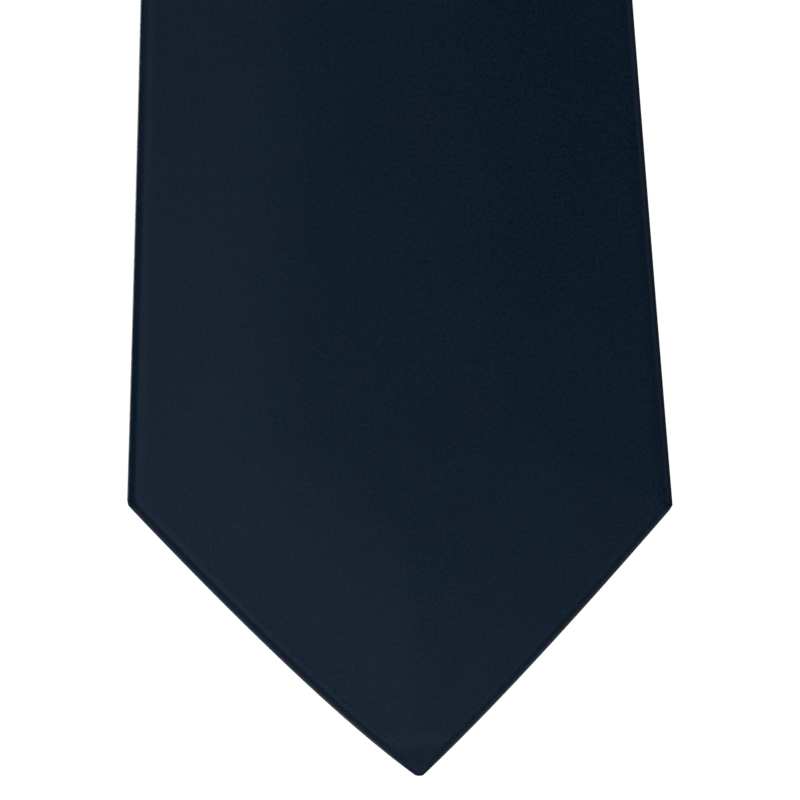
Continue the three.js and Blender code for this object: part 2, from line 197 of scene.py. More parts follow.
def fullness(leg, x, h):
    """Share of the full thickness: thinner near every edge, by a cubic step of the distance in from it."""
    _, _, lower, side = outline(leg, h)
    near = np.minimum(side - x, side + x)
    near = np.minimum(near, (lower[1] - x) * math.sqrt(0.5))
    near = np.minimum(near, (lower[0] + x) * math.sqrt(0.5))
    return 1 - EDGE_THINNING * (1 - smooth(near / THINNING_REACH))


def back_depth(leg, h):
    """Depth of the leg's back: the blade's comes in to the neck's by a cubic step just below its seam."""
    return leg["back"] + (neck_back - leg["back"]) * smooth((h - THINS_FROM) / THINS_OVER)


def grid_mesh(name, grid, wall, uv):
    """A closed skin from a grid of points: the grid, a copy moved in by the wall along its normals, and
    rims. Rows run along the piece and columns across it; the normals are the cross product of the two
    directions."""
    rows, columns = grid.shape[:2]
    normal = np.cross(np.gradient(grid, axis=0), np.gradient(grid, axis=1))
    normal /= np.linalg.norm(normal, axis=-1, keepdims=True) + 1e-12
    inner = grid - normal * np.broadcast_to(wall, grid.shape[:2])[..., None]
    index = np.arange(rows * columns).reshape(rows, columns)
    a, b, c, d = index[:-1, :-1], index[:-1, 1:], index[1:, 1:], index[1:, :-1]
    outside = np.stack([a, d, c, b], -1).reshape(-1, 4)
    inside = np.stack([a, b, c, d], -1).reshape(-1, 4) + rows * columns
    rim = np.concatenate([index[0, :], index[1:, -1], index[-1, -2::-1], index[-2:0:-1, 0]])
    after = np.roll(rim, -1)
    walls = np.stack([rim, after, after + rows * columns, rim + rows * columns], -1)
    faces = np.concatenate([outside, inside, walls])
    points = np.concatenate([grid.reshape(-1, 3), inner.reshape(-1, 3)])
    return mesh_object(name, points, faces, np.concatenate([uv.reshape(-1, 2)] * 2))


def mesh_object(name, points, faces, uv):
    """One smooth-shaded object from arrays of points, faces and a UV for each point, in metres of cloth."""
    mesh = bpy.data.meshes.new(name)
    mesh.from_pydata(points.tolist(), [], faces if isinstance(faces, list) else faces.tolist())
    layer = mesh.uv_layers.new(name="cloth")
    corner = np.empty(len(mesh.loops), dtype=np.int32)
    mesh.loops.foreach_get("vertex_index", corner)
    layer.data.foreach_set("uv", uv[corner].astype(np.float32).ravel())
    mesh.polygons.foreach_set("use_smooth", np.ones(len(mesh.polygons), dtype=bool))
    mesh.set_sharp_from_angle(angle=math.radians(50))
    mesh.validate()
    piece = bpy.data.objects.new(name, mesh)
    bpy.context.scene.collection.objects.link(piece)
    return piece


def lengths_across(grid):
    """Distance along each row from its middle column, by adding up the steps."""
    steps = np.linalg.norm(np.diff(grid, axis=1), axis=-1)
    run = np.concatenate([np.zeros((len(grid), 1)), np.cumsum(steps, axis=1)], axis=1)
    return run - run[:, [grid.shape[1] // 2]]


def flap_edges(leg, h):
    """X of the two flaps' edges: the V narrows evenly to its top, and the hem stays its width in from the
    edge."""
    _, _, lower, _ = outline(leg, h)
    centre = leg["point_x"] * (1 - smooth(h / leg["point_height"]))
    v = leg["v_half"] * (leg["v_top"] - h) / (leg["v_top"] - leg["point_height"])
    hem = leg["hem"] * math.sqrt(2)
    right = np.maximum(centre + FLAP_GAP, np.minimum(v, lower[1] - hem))
    left = np.minimum(centre - FLAP_GAP, -np.minimum(v, lower[0] - hem))
    return left, right


FLAP_COLUMNS, FOLD_COLUMNS, FACE_COLUMNS, HOOK_COLUMNS, RETURN_COLUMNS = 14, 9, 61, 7, 4


def envelope_half(edge, middle, flap, roll_x, hook, returned):
    """Half a section from the hidden return round to the middle of the face, as three numbers for each
    column: the distance x, the side from -1 on the back to 1 on the face, and how far it is raised off
    the back into the envelope, in hook widths. The roll at the edge is a half circle and so is the hook
    round the flap's edge."""
    half_round = np.linspace(0, math.pi, FOLD_COLUMNS)[None, :]
    back = np.linspace(0, 1, FLAP_COLUMNS)[None, 1:]
    face = np.linspace(0, 1, FACE_COLUMNS // 2 + 1)[None, 1:]
    turn = np.linspace(math.pi, 0, HOOK_COLUMNS)[None, :]
    under = np.linspace(1, 0, RETURN_COLUMNS, endpoint=False)[None, :]
    sign = np.sign(edge - flap)
    hook_mid = flap + sign * hook
    x = np.concatenate([
        hook_mid + sign * returned * under,
        hook_mid - sign * hook * np.sin(turn),
        hook_mid + (edge - sign * roll_x - hook_mid) * back,
        edge - sign * roll_x * (1 - np.sin(half_round))[:, 1:-1],
        edge - sign * roll_x + (middle - edge + sign * roll_x) * np.concatenate([[[0.0]], face], axis=1),
    ], axis=1)
    ones = np.ones_like(edge)
    side = np.concatenate([
        -ones * np.ones_like(under), -ones * np.ones_like(turn), -ones * np.ones_like(back),
        -ones * np.cos(half_round)[:, 1:-1], ones, ones * np.ones_like(face),
    ], axis=1)
    raised = np.concatenate([
        2 * ones * np.ones_like(under), ones * (1 - np.cos(turn)), np.zeros_like(ones * back),
        np.zeros_like(ones * half_round[:, 1:-1]), 0 * ones, np.zeros_like(ones * face),
    ], axis=1)
    return x, side, raised


def envelope(leg, h, along, slant, pinch):
    """A folded envelope of cloth. Each row is a section at height h: return, hook, flap, pressed roll and
    face, mirrored; depth is the middle plus the side (-1 back, 1 face) times half the thickness there."""
    left, right, _, _ = outline(leg, h)
    flap_left, flap_right = flap_edges(leg, h)
    width = (right - left)[:, None]
    slope = [np.gradient(left, h)[:, None], np.gradient(right, h)[:, None]]
    middle = ((left + right) / 2)[:, None]
    back = back_depth(leg, h)[:, None]
    thinned = 0.3 + 0.7 * smooth(width / POINT_WIDE)
    full = (face_depth - back) * thinned * np.sqrt(np.clip(width / POINT_NARROW, 0, 1))
    mid = (face_depth + back) / 2
    halves = []
    for edge, flap, side_slope in ((right, flap_right, slope[1]), (left, flap_left, slope[0])):
        lean = np.sqrt(1 + np.clip(side_slope, -1.2, 1.2) ** 2)
        roll = np.minimum(full * (1 - EDGE_THINNING) / 2 * lean, 0.22 * width)
        flap_width = np.abs(edge - flap)[:, None] - roll
        hook = np.minimum(CLOTH + RETURN_GAP / 2, 0.2 * flap_width)
        returned = np.minimum(RETURN_LONG, 0.45 * flap_width)
        halves.append((*envelope_half(edge[:, None], middle, flap[:, None], roll, hook, returned), hook))
    right_x, right_side, right_raised, right_hook = halves[0]
    left_x, left_side, left_raised, left_hook = halves[1]
    x = np.concatenate([right_x, left_x[:, -2::-1]], axis=1)
    side = np.concatenate([right_side, left_side[:, -2::-1]], axis=1)
    raised = np.concatenate([right_raised * right_hook, (left_raised * left_hook)[:, -2::-1]], axis=1)
    height = h[:, None] + slant[:, None] * x
    depth = mid + side * (full * fullness(leg, x, height) / 2 - pinch[:, None]) + raised
    grid = place(x, depth, along(height))
    wall = np.minimum(CLOTH, 0.18 * full) * np.ones_like(x)
    uv = np.stack([lengths_across(grid), height], axis=-1)
    return grid, wall, uv


BLADE_SEAM = 0.7                    # height of the joining seam above the point
FIRST_ROW = 0.000457
AT_SEAM = np.array([0.006, 0.003, 0.0015, 0.0009, 0.0005, 0.0002, 0.00015])
blade_rows = np.concatenate([
    FIRST_ROW + 0.006 * (np.arange(15) / 14) ** 2,
    np.arange(0.0072, 0.0521, 0.00075),
    np.arange(0.0527, 0.0633, 0.0005),
    np.arange(0.0640, 0.115, 0.002),
    np.arange(0.116, 0.694, 0.006),
    BLADE_SEAM - AT_SEAM,
])


class Wire:
    """A node's output that can be used in plain arithmetic; each operator adds its Math node."""

    def __init__(self, tree, socket):
        self.tree, self.socket = tree, socket

    def node(self, kind, settings=(), outlet=0, **values):
        """Adds a node of a type with its settings, then its values or links: _0 is socket 0, and others
        by name."""
        made = self.tree.nodes.new(kind)
        for key, value in dict(settings).items():
            setattr(made, key, value)
        for key, value in values.items():
            socket = made.inputs[int(key[1:]) if key[0] == "_" else key]
            if isinstance(value, Wire):
                self.tree.links.new(value.socket, socket)
            else:
                socket.default_value = value
        return Wire(self.tree, made.outputs[outlet])

    def math(self, operation, a, b=0.0):
        return self.node("ShaderNodeMath", {"operation": operation}, _0=a, _1=b)

    def __add__(self, other):
        return self.math("ADD", self, other)

    def __sub__(self, other):
        return self.math("SUBTRACT", self, other)

    def __rsub__(self, other):
        return self.math("SUBTRACT", other, self)

    def __mul__(self, other):
        return self.math("MULTIPLY", self, other)

    __radd__, __rmul__ = __add__, __mul__


CLOUD_SCALE = 55.0                  # patches about 18 mm across
SLUB_SCALE = 1900.0                 # uneven threads about half a millimetre across


def finish_of(
    name, dark, light, roughness, specular, sheen, pattern, bump, bump_distance, tint=(1, 1, 1), grain=0.8,
):
    """A cloth or thread finish. The pattern gives a height from 0 to 1 out of the cloth's own lengths and
    widths. Colour runs from dark to light with it, with slow cloudy noise and with fine slubs, whose
    strength is the grain; the height and the slubs feed the bump, and the slubs the roughness."""
    material = bpy.data.materials.new(name)
    material.use_nodes = True
    tree = material.node_tree
    shader = tree.nodes["Principled BSDF"]
    shader.inputs["Specular IOR Level"].default_value = specular
    shader.inputs["Specular Tint"].default_value = (*tint, 1)
    shader.inputs["Sheen Weight"].default_value = sheen
    shader.inputs["Sheen Roughness"].default_value = 0.5
    shader.inputs["Sheen Tint"].default_value = (0.62, 0.66, 0.9, 1)
    uv_node = tree.nodes.new("ShaderNodeUVMap")
    uv_node.uv_map = "cloth"
    uv = Wire(tree, uv_node.outputs[0])
    split = tree.nodes.new("ShaderNodeSeparateXYZ")
    tree.links.new(uv.socket, split.inputs[0])
    u, v = Wire(tree, split.outputs[0]), Wire(tree, split.outputs[1])
    height = pattern(uv, u, v)
    cloud = uv.node("ShaderNodeTexNoise", Vector=uv, Scale=CLOUD_SCALE, Detail=3.0, Roughness=0.6)
    slub = uv.node("ShaderNodeTexNoise", Vector=uv, Scale=SLUB_SCALE, Detail=2.0, Roughness=0.7)
    share = height * 0.9 + cloud * 0.3 + (slub - 0.5) * grain - 0.1
    colour = uv.node(
        "ShaderNodeMix", {"data_type": "RGBA"}, outlet=2, _0=share, _6=(*dark, 1), _7=(*light, 1),
    )
    tree.links.new(colour.socket, shader.inputs["Base Color"])
    rough = (slub - 0.5) * 0.08 + roughness
    tree.links.new(rough.socket, shader.inputs["Roughness"])
    normal = uv.node(
        "ShaderNodeBump", Strength=bump, Distance=bump_distance, Height=height * 0.8 + slub * 0.35,
    )
    tree.links.new(normal.socket, shader.inputs["Normal"])
    return material


def twill(period):
    """Fine ribs on the bias: a sine of u plus v, broken across by a finer sine of u less v."""
    def pattern(uv, u, v):
        wobble = uv.node("ShaderNodeTexNoise", Vector=uv, Scale=400.0, Detail=2.0) * 0.6
        rib = uv.math("SINE", (u + v) * (2 * math.pi / period) + wobble)
        cross_rib = uv.math("SINE", (u - v) * (2 * math.pi / (period * 0.62)))
        return rib * 0.34 + cross_rib * 0.12 + 0.5
    return pattern


def plain(period):
    """A plain weave: sines of u and of v, one thread up and one down."""
    def pattern(uv, u, v):
        across = uv.math("SINE", u * (2 * math.pi / period))
        along = uv.math("SINE", v * (2 * math.pi / period))
        return across * along * 0.35 + 0.5
    return pattern


silk = finish_of(
    "navy_silk_twill", dark=(0.0003, 0.0029, 0.0062), light=(0.0027, 0.0099, 0.0196), roughness=0.34,
    specular=0.08, sheen=0.01, pattern=twill(0.00036), bump=0.35, bump_distance=0.00004,
    tint=(0.6, 0.68, 1.0), grain=2.2,
)

SEAM_SLANT_REACH = 0.05             # rows lean over this length of cloth to lie along the seam
SEAM_PINCH = 0.00035                # how far the seam sinks into the cloth on each side
SEAM_PINCH_REACH = 0.0012


def seam_rows(h, seam, side):
    """Slant and pinch of rows near a joining seam: cubic steps of the distance from it, 45 degrees at the
    seam."""
    away = np.clip(side * (seam - h), 0, None)
    return 1 - smooth(away / SEAM_SLANT_REACH), SEAM_PINCH * (1 - smooth(away / SEAM_PINCH_REACH))


def up(h):
    """Distance along the tie of a height above the front point."""
    return h + front_end


def bend_at_tip(piece):
    """Bakes a piece's placement into its points; it does not bend the piece where the front point folds over.
    """
    z = fold_z["tip_fold"]
    z + FOLD_REACH
    z - FOLD_REACH
    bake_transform(piece)


grid, wall, uv = envelope(blade, blade_rows, up, *seam_rows(blade_rows, BLADE_SEAM, 1))
blade_cloth = grid_mesh("blade_cloth", grid, wall, uv)
blade_cloth.data.materials.append(silk)
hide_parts("blade_shell", "tip_shell")
bend_at_tip(blade_cloth)

# ---- Neck cloth ----
# A plain length of the same silk between the two slanting seams. It runs up the front leg, over the rail
# and down the tail, folded in the same way, with its flaps on the inside.

TAIL_SEAM = 0.39                    # height of the joining seam above the tail's point
neck_end = tail_end - TAIL_SEAM - front_end


def bend_at_neck(piece):
    """Bakes a piece's placement into its points; the curve round the rail comes from place, not from this
    step.
    """
    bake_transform(piece)


neck_rows = np.concatenate([
    BLADE_SEAM + AT_SEAM[:0:-1],
    np.linspace(BLADE_SEAM + 0.006, -front_end - 0.006, 34),
    np.linspace(-front_end - 0.004, -front_end + half_turn + 0.004, 41),
    np.linspace(-front_end + half_turn + 0.006, neck_end - 0.006, 34),
    neck_end - AT_SEAM[1:],
])
front_slant, front_pinch = seam_rows(neck_rows, BLADE_SEAM, -1)
tail_slant, tail_pinch = seam_rows(neck_rows, neck_end, 1)
neck_slant, neck_pinch = front_slant - tail_slant, front_pinch + tail_pinch
grid, wall, uv = envelope(blade, neck_rows, up, neck_slant, neck_pinch)
neck_cloth = grid_mesh("neck_cloth", grid, wall, uv)
neck_cloth.data.materials.append(silk)
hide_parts("neck_shell_front", "neck_shell_fold", "neck_shell_tail")
bend_at_neck(neck_cloth)

# ---- Tail cloth ----
# The narrow end of the same silk, folded and hemmed like the blade round a small point.

tail = {
    "corner": 0.0215, "point_height": 0.0215, "point_x": 0.0, "skew": 0.0,
    "left_bulge": 0.0003, "left_at": 0.5, "right_bulge": 0.0003, "right_at": 0.5,
    "taper": 0.33, "power": 1.3, "left_round": 0.0003, "right_round": 0.0003, "tip_round": 0.0011,
    "hem": 0.007, "v_top": 0.062, "v_half": 0.014, "back": neck_back,
}


def down(h):
    """Distance along the tie of a height above the tail's point."""
    return tail_end - h


def bend_at_tail(piece):
    """Bakes a piece's placement into its points; it does not bend the piece where the tail folds over."""
    z = fold_z["tail_fold"]
    z + FOLD_REACH
    z - FOLD_REACH
    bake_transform(piece)


tail_rows = np.concatenate([
    FIRST_ROW + 0.004 * (np.arange(13) / 12) ** 2,
    np.arange(0.0052, 0.026, 0.0007),
    np.arange(0.026, 0.068, 0.0015),
    np.arange(0.068, 0.276, 0.005),
    np.arange(0.2779, 0.2909, 0.0006),
    np.arange(0.293, 0.384, 0.005),
    TAIL_SEAM - AT_SEAM,
])
grid, wall, uv = envelope(tail, tail_rows, down, *seam_rows(tail_rows, TAIL_SEAM, 1))
tail_cloth = grid_mesh("tail_cloth", grid[::-1], wall[::-1], uv[::-1])
tail_cloth.data.materials.append(silk)
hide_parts("tail_shell", "tail_end_shell")
bend_at_tail(tail_cloth)

# ---- Interlining, brushed ply and linings ----
# Flat layers inside the envelope. A long wool canvas gives the tie its body, a brushed ply thickens the
# blade, and each point is lined with satin under the flaps.

LAYER_COLUMNS = 33


def layer(name, leg, h, along, inset, below, thickness, slant, from_back):
    """A flat layer inside the envelope: columns evenly from edge to edge less the inset, at a set
    distance below the face's surface, or in from the back's."""
    left, right, _, _ = outline(leg, h)
    reach = [np.sqrt(1 + np.clip(np.gradient(e, h), -1.1, 1.1) ** 2) * inset for e in (left, right)]
    left, right = left + reach[0], right - reach[1]
    across = np.linspace(1, 0, LAYER_COLUMNS)[None, :]
    x = left[:, None] + np.maximum(right - left, 0.0002)[:, None] * across
    height = h[:, None] + slant[:, None] * x
    back = back_depth(leg, h)[:, None]
    half = (face_depth - back) * fullness(leg, x, height) / 2
    mid = (face_depth + back) / 2
    depth = mid - half + below + thickness if from_back else mid + half - below
    grid = place(x, depth, along(height))
    uv = np.stack([x, height], axis=-1)
    if along is down:
        grid, uv = grid[::-1], uv[::-1]
    return grid_mesh(name, grid, thickness, uv)


def layer_rows(low, high, fold=None):
    """Even rows 4 mm apart between two heights, and close rows across a fold."""
    rows = np.linspace(low, high, int((high - low) / 0.004) + 2)
    if fold is None:
        return rows
    near = fold + np.linspace(-0.005, 0.005, 19)
    return np.sort(np.concatenate([rows[np.abs(rows - fold) > 0.0056], near]))


def pattern_of(leg, low, high, inset):
    """Area and size of a layer's flat cut: its width at each height is twice the lesser of the side and the
    45 degree point, less the inset at both edges, and the area is the sum of those widths."""
    h = np.linspace(low, high, 400)
    point = h * leg["corner"] / leg["point_height"] - inset * math.sqrt(2)
    width = 2 * np.clip(np.minimum(side_half(leg, h) - inset, point), 0, None)
    area = float(np.sum((width[1:] + width[:-1]) / 2 * np.diff(h)))
    return area, (float(width.max()), float(np.ptp(h[width > 0])))


canvas = finish_of(
    "wool_canvas", dark=(0.42, 0.37, 0.29), light=(0.72, 0.66, 0.54), roughness=0.92, specular=0.2,
    sheen=0.1, pattern=plain(0.0009), bump=0.6, bump_distance=0.0002,
)
brushed = finish_of(
    "brushed_ply", dark=(0.6, 0.56, 0.47), light=(0.85, 0.81, 0.72), roughness=0.95, specular=0.15,
    sheen=0.3, pattern=plain(0.0013), bump=0.5, bump_distance=0.0003,
)
satin = finish_of(
    "navy_satin_lining", dark=(0.0035, 0.0085, 0.0210), light=(0.0060, 0.0135, 0.0310), roughness=0.42,
    specular=0.2, sheen=0.0, pattern=twill(0.0003), bump=0.15, bump_distance=0.00004,
)

SEAM_CLEAR = 0.0004                 # the canvas stops this short of each joining seam
LAYER_START = 0.0050                # height of the lowest row of canvas and lining above a point
PLY_START = 0.0064
PLY_TOP = 0.45
LINING_TOP, TAIL_LINING_TOP = 0.15, 0.092
NECK_CUT_END = 1.0943               # the neck's canvas is cut to this height above the front point
CANVAS = (0.003, 0.00045, 0.0009)   # inset from the edges, depth below the cloth's surface, thickness
PLY = (0.004, 0.0015, 0.0005)
LINING = (0.003, 0.00088, 0.00025)

front_rows = layer_rows(LAYER_START, BLADE_SEAM - SEAM_CLEAR, tip_fold_height)
neck_layer_rows = np.linspace(BLADE_SEAM + SEAM_CLEAR, neck_end - SEAM_CLEAR, 180)
tail_layer_rows = layer_rows(LAYER_START, TAIL_SEAM - SEAM_CLEAR, tail_fold_height)
ply_rows = layer_rows(PLY_START, PLY_TOP, tip_fold_height)
lining_rows = layer_rows(LAYER_START, LINING_TOP, tip_fold_height)
tail_lining_rows = layer_rows(LAYER_START, TAIL_LINING_TOP)
front_layer_slant = seam_rows(front_rows, BLADE_SEAM, 1)[0]
neck_layer_slant = seam_rows(neck_layer_rows, BLADE_SEAM, -1)[0] - seam_rows(neck_layer_rows, neck_end, 1)[0]
tail_layer_slant = seam_rows(tail_layer_rows, TAIL_SEAM, 1)[0]

for name, nodes, finish, slot, leg, along, rows, slant, cut, low, high in (
    ("canvas_front", ("blade_interlining", "tip_interlining"), canvas, "wool_canvas",
     blade, up, front_rows, front_layer_slant, CANVAS, 0.0, BLADE_SEAM),
    ("canvas_neck", ("neck_interlining_fold",), canvas, "wool_canvas",
     blade, up, neck_layer_rows, neck_layer_slant, CANVAS, BLADE_SEAM, NECK_CUT_END),
    ("canvas_tail", ("tail_interlining", "tail_end_interlining"), canvas, "wool_canvas",
     tail, down, tail_layer_rows, tail_layer_slant, CANVAS, 0.0, TAIL_SEAM),
    ("brushed_ply_front", ("blade_brushed_ply", "tip_brushed_ply"), brushed, "brushed_ply",
     blade, up, ply_rows, np.zeros_like(ply_rows), PLY, 0.0, PLY_TOP),
    ("lining_front", ("blade_tipping", "tip_tipping"), satin, "navy_lining",
     blade, up, lining_rows, np.zeros_like(lining_rows), LINING, 0.0, LINING_TOP),
    ("lining_tail", ("tail_end_tipping",), satin, "navy_lining",
     tail, down, tail_lining_rows, np.zeros_like(tail_lining_rows), LINING, 0.0, TAIL_LINING_TOP),
):
    piece = layer(name, leg, rows, along, *cut, slant, from_back=cut is LINING)
    piece.data.materials.append(finish)
    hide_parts(*nodes)
    cut_area, cut_size = pattern_of(leg, low, high, cut[0])
    if name == "canvas_neck":
        bend_at_neck(piece)
    elif name == "canvas_tail":
        bend_at_tail(piece)
    elif name == "lining_tail":
        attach(piece, "tail_end")
    else:
        bend_at_tip(piece)

# ---- Slip stitch ----
# One navy silk thread draws the two flaps together up the centre back in long slanting stitches. It is
# left loose inside the envelope, and its spare end hangs as a small loop in the opening below the bar
# tack.

THREAD = 0.00016                    # radius of the thread
STITCH_LONG = 0.014
STITCH_SWAY = 0.0005                # how far a stitch reaches either side of the centre line
STITCH_DIP = 0.00035                # how far it dips into the envelope
STITCH_STEP = 0.0009
STITCH_CLEAR = 0.001                # from a thread's end to a joining seam
TACK_HEIGHT, TAIL_TACK_HEIGHT = 0.112, 0.066
LOOP_DROP, LOOP_HALF = 0.018, 0.0022


def tube(name, path, radius, reference, sides=7):
    """A closed round thread: rings about each point of the path, square to the step from one point to the
    next, turned from the cross product of that step with a reference direction."""
    step = np.gradient(path, axis=0)
    step /= np.linalg.norm(step, axis=1, keepdims=True)
    first = np.cross(step, reference)
    first /= np.linalg.norm(first, axis=1, keepdims=True)
    second = np.cross(step, first)
    turn = 2 * math.pi * np.arange(sides) / sides
    rings = path[:, None] + radius * (
        np.cos(turn)[None, :, None] * first[:, None] + np.sin(turn)[None, :, None] * second[:, None]
    )
    run = np.concatenate([[0], np.cumsum(np.linalg.norm(np.diff(path, axis=0), axis=1))])
    uv = np.stack(np.broadcast_arrays(turn[None, :] * radius, run[:, None]), axis=-1)
    return ring_mesh(name, rings, uv)


def ring_mesh(name, rings, uv):
    """A closed skin over rows of rings, with a fan of triangles over each end."""
    rows, sides = rings.shape[:2]
    index = np.arange(rows * sides).reshape(rows, sides)
    after = np.roll(index, -1, axis=1)
    quads = np.stack([index[:-1], after[:-1], after[1:], index[1:]], -1).reshape(-1, 4)
    ends = rows * sides + np.array([0, 1])
    low = np.stack([np.full(sides, ends[0]), after[0], index[0]], -1)
    high = np.stack([np.full(sides, ends[1]), index[-1], after[-1]], -1)
    points = np.concatenate([rings.reshape(-1, 3), rings[[0, -1]].mean(axis=1)])
    flat_uv = np.concatenate([uv.reshape(-1, 2), uv[[0, -1]].mean(axis=1)])
    faces = quads.tolist() + low.tolist() + high.tolist()
    a, b, c = points[quads[:, 0]], points[quads[:, 1]], points[quads[:, 2]]
    if np.einsum("ij,ij->i", a - points.mean(axis=0), np.cross(b - a, c - a)).sum() < 0:
        faces = [face[::-1] for face in faces]
    return mesh_object(name, points, faces, flat_uv)


thread_finish = finish_of(
    "navy_silk_thread", dark=(0.0060, 0.0110, 0.0190), light=(0.0150, 0.0240, 0.0390), roughness=0.45,
    specular=0.3, sheen=0.05, pattern=twill(0.0005), bump=0.5, bump_distance=0.00008,
)


def dress_thread(piece, body, *nodes):
    """Gives a thread its finish, hides the nodes it stands in for, and gives it its body unless it runs from
    one to another.
    """
    piece.data.materials.append(thread_finish)
    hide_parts(*nodes)
    if body:
        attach(piece, body)


def stitch_path(leg, h, along):
    """Slip stitches at heights h: x is a sine of height, and the depth dips below the back at twice that
    rate."""
    turn = 2 * math.pi * h / STITCH_LONG
    back = back_depth(leg, h) + THREAD * 0.4 + STITCH_DIP * (1 - np.cos(2 * turn)) / 2
    return place(STITCH_SWAY * np.sin(turn), back, along(h))


loop_turn = np.linspace(0.86, 0.02, 60)
loop = place(
    LOOP_HALF * np.sin(2 * math.pi * loop_turn) * np.sin(math.pi * loop_turn), blade_back + 0.0003,
    up(TACK_HEIGHT - LOOP_DROP * np.sin(math.pi * loop_turn)),
)
front_heights = np.arange(TACK_HEIGHT, BLADE_SEAM - STITCH_CLEAR, STITCH_STEP)
neck_heights = np.arange(BLADE_SEAM + STITCH_CLEAR, neck_end - STITCH_CLEAR, STITCH_STEP)
tail_heights = np.arange(TAIL_TACK_HEIGHT, TAIL_SEAM - STITCH_CLEAR, STITCH_STEP)
front_path = np.concatenate([loop, stitch_path(blade, front_heights, up)])
side_on = np.array([1.0, 0.0, 0.0])
front_thread = tube("slip_stitch_front", front_path, THREAD, np.array([0.05, 1.0, 0.0]))
dress_thread(front_thread, "front_leg", "blade_slip_stitch")
neck_thread = tube("slip_stitch_neck", stitch_path(blade, neck_heights, up), THREAD, side_on)
dress_thread(neck_thread, None, "neck_slip_stitch")
bend_at_neck(neck_thread)
tail_thread = tube("slip_stitch_tail", stitch_path(tail, tail_heights, down), THREAD, side_on)
dress_thread(tail_thread, None, "tail_slip_stitch", "tail_end_slip_stitch")
bend_at_tail(tail_thread)

# ---- Bar tacks ----
# A close row of thread turns across the top of each opening, which keeps the flaps from tearing apart.


def winding(name, ends, middle, half, lift, turns, upright=False):
    """Thread wound side by side along a line between two ends, as a helix. Its long axis crosses the
    line, half either way, and its short one stands out from the cloth, lift either way. The line runs
    across the tie through the middle, or along the tie where it is upright."""
    share = np.linspace(0, 1, turns * 14 + 1)
    turn = 2 * math.pi * turns * share
    line = ends[0] + (ends[1] - ends[0]) * share
    sway = half * np.cos(turn)
    across, along = (sway, line) if upright else (line, sway)
    x, depth, s = middle
    path = place(x + across, depth + lift * np.sin(turn), s + along)
    reference = np.array([0.0, 0.0, 1.0]) if upright else side_on
    return tube(name, path, THREAD * 1.25, reference, sides=6)


TACK_OUT = 0.0001                   # the middle of a row of turns stands this far out from the cloth
blade_tack = winding(
    "bar_tack_front", (-0.0055, 0.0055), (0.0, blade_back - TACK_OUT, up(TACK_HEIGHT)), 0.0008, 0.0003, 26,
)
dress_thread(blade_tack, "front_leg", "blade_bar_tack")
tail_tack = winding(
    "bar_tack_tail", (-0.0035, 0.0035), (0.0, neck_back - TACK_OUT, down(TAIL_TACK_HEIGHT)), 0.0008, 0.0003,
    17,
)
dress_thread(tail_tack, "tail_end", "tail_bar_tack")

# ---- Keeper loop ----
# A band of the same silk folded double, bowed off the back so the tail can pass, tacked down through each
# foot.

KEEPER_THICK = 0.0009
KEEPER_HALF = 0.019                 # half the span of the bow between its feet
KEEPER_BOW = 0.0050
FOOT = (1.02, 1.263)                # where each foot starts and ends, in half spans from the middle
FOOT_X = 0.0222                     # the stitches through each foot
keeper_low, keeper_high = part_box("keeper_loop")
foot_share = np.linspace(*FOOT, 8)
keeper_share = np.concatenate([-foot_share[::-1], np.linspace(-1, 1, 61), foot_share])
keeper_x = KEEPER_HALF * keeper_share
keeper_lift = KEEPER_BOW * np.clip(1 - keeper_share ** 4, 0, None)
keeper_mid = (keeper_low.z + keeper_high.z) / 2
half_tall = (keeper_high.z - keeper_low.z) / 2 - KEEPER_THICK / 2
bend = np.linspace(0, math.pi, 8)
ring_z = np.concatenate([
    half_tall + KEEPER_THICK / 2 * np.sin(bend), np.linspace(half_tall, -half_tall, 14)[1:-1],
    -half_tall - KEEPER_THICK / 2 * np.sin(bend), np.linspace(-half_tall, half_tall, 14)[1:-1],
])
ring_out = np.concatenate([
    KEEPER_THICK / 2 * np.cos(bend), np.full(12, -KEEPER_THICK / 2),
    -KEEPER_THICK / 2 * np.cos(bend), np.full(12, KEEPER_THICK / 2),
])
keeper_depth = blade_back - 0.0004 - KEEPER_THICK / 2 - keeper_lift
slope = np.gradient(keeper_depth, keeper_x)
lean = np.sqrt(1 + slope ** 2)
bow_share = np.clip(1 - np.abs(keeper_share), 0, 1)[:, None]
belly = 0.00025 * np.sin(math.pi * (ring_z + half_tall) / (2 * half_tall)) * bow_share
keeper_rings = place(
    keeper_x[:, None] - (slope / lean)[:, None] * ring_out,
    keeper_depth[:, None] + ring_out / lean[:, None] - belly,
    keeper_mid + ring_z[None, :],
)
ring_run = np.cumsum(np.hypot(np.gradient(ring_z), np.gradient(ring_out)))
keeper_uv = np.stack(np.broadcast_arrays(ring_run[None, :], keeper_x[:, None]), -1)
keeper = ring_mesh("keeper_band", keeper_rings, keeper_uv)
keeper.data.materials.append(silk)
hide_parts("keeper_loop")
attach(keeper, "front_leg")
for side, x in (("left", -FOOT_X), ("right", FOOT_X)):
    tack = winding(
        f"keeper_stitches_{side}", (-0.008, 0.008), (x, keeper_depth[0], keeper_mid), 0.0006, 0.0006, 24,
        upright=True,
    )
    dress_thread(tack, "front_leg", f"keeper_tack_{side}")

# ---- Care label ----
# A small blank satin label with a woven selvedge, whipped to the back by its top edge and free below it.

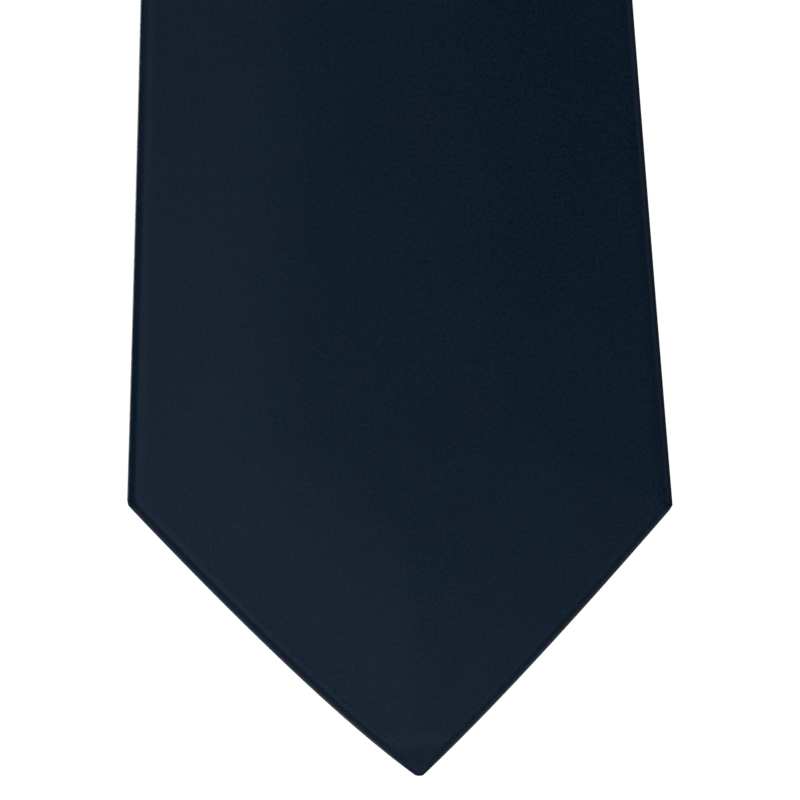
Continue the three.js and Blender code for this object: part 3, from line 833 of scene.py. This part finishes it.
LABEL_THICK = 0.0003
LABEL_CURL = 0.0004                 # how far its free end stands off the cloth
LABEL_RIPPLE = 0.0001
label_low, label_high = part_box("care_label")
label_x = np.linspace(label_high.x, label_low.x, 25)[None, :]
label_s = np.linspace(label_low.z, label_high.z, 41)[:, None]
free = (label_high.z - label_s) / (label_high.z - label_low.z)
ripple = LABEL_RIPPLE * free * np.cos(label_x / 0.0035)
label_depth = -label_low.y - 0.00002 - ripple - LABEL_CURL * free ** 2
label_grid = place(label_x, label_depth, label_s)
label_uv = np.stack(np.broadcast_arrays(label_x, label_s), -1)
label_finish = finish_of(
    "cream_label_satin", dark=(0.62, 0.59, 0.52), light=(0.80, 0.77, 0.70), roughness=0.4, specular=0.4,
    sheen=0.0, pattern=plain(0.00045), bump=0.3, bump_distance=0.00006,
)
label = grid_mesh("label_cloth", label_grid, LABEL_THICK, label_uv)
label.data.materials.append(label_finish)
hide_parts("care_label")
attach(label, "label")
whip_middle = (0.0, -label_low.y - 0.0001, label_high.z + 0.0001)
whip = winding("label_whip_stitches", (-0.0095, 0.0095), whip_middle, 0.0006, 0.00024, 13)
dress_thread(whip, "front_leg", "label_stitch")

# ---- Lights, world and floor ----
# A white room. Two narrow strips, one at the left and one low down, stand about 18 degrees off square to
# the face and give the silk its sheen. Soft lamps light the left, the right, the back and the top, and a
# pale floor lies well below the tie.

WORLD_LIGHT = 0.15                  # strength of the room's light on the tie
WORLD_SEEN = 0.9                    # and how much brighter the camera sees the room

world = bpy.data.worlds.new("studio")
world.use_nodes = True
tree = world.node_tree
background = tree.nodes["Background"]
path_node = tree.nodes.new("ShaderNodeLightPath")
seen = Wire(tree, path_node.outputs["Is Camera Ray"])
tree.links.new((seen * WORLD_SEEN + WORLD_LIGHT).socket, background.inputs["Strength"])
background.inputs["Color"].default_value = (1, 1, 1, 1)
bpy.context.scene.world = world
bpy.context.scene.view_settings.view_transform = "Standard"

for name, spot, aim, size, power in (
    ("left_strip", (-0.25, -0.78, -0.82), (0.0, 0.0, -0.82), (0.08, 0.55), 2.1),
    ("low_strip", (0.05, -0.75, -1.10), (0.0, 0.0, -0.84), (0.55, 0.08), 1.9),
    ("key", (-0.9, -0.6, -0.1), (0.0, 0.0, -0.5), (0.6, 0.6), 7.0),
    ("fill", (1.1, -0.5, -0.5), (0.0, 0.0, -0.5), (0.6, 1.0), 4.0),
    ("back", (-0.7, 1.0, -0.3), (0.0, 0.0, -0.5), (0.5, 1.0), 12.0),
    ("overhead", (0.0, 0.0, 1.2), (0.0, 0.001, -1.0), (1.6, 1.6), 44.0),
):
    lamp = bpy.data.lights.new(name, "AREA")
    lamp.shape = "RECTANGLE"
    lamp.size, lamp.size_y = size
    lamp.energy = power
    light = bpy.data.objects.new(name, lamp)
    light.location = spot
    light.rotation_euler = (Vector(aim) - Vector(spot)).to_track_quat("-Z", "Y").to_euler()
    light.visible_camera = False
    bpy.context.scene.collection.objects.link(light)

FLOOR_Z = -1.3
FLOOR_RADIUS = 0.8
FLOOR_SIDES = 96
turn = 2 * math.pi * np.arange(FLOOR_SIDES) / FLOOR_SIDES
floor_mesh = bpy.data.meshes.new("floor")
rim_points = np.stack([
    FLOOR_RADIUS * np.cos(turn), FLOOR_RADIUS * np.sin(turn), np.full(FLOOR_SIDES, FLOOR_Z),
], -1)
floor_mesh.from_pydata(rim_points.tolist(), [], [list(range(FLOOR_SIDES))])
floor = bpy.data.objects.new("floor", floor_mesh)
bpy.context.scene.collection.objects.link(floor)
floor_finish = bpy.data.materials.new("pale_floor")
floor_finish.use_nodes = True
floor_shader = floor_finish.node_tree.nodes["Principled BSDF"]
floor_shader.inputs["Base Color"].default_value = (0.86, 0.86, 0.85, 1)
floor_shader.inputs["Roughness"].default_value = 0.9
floor_mesh.materials.append(floor_finish)
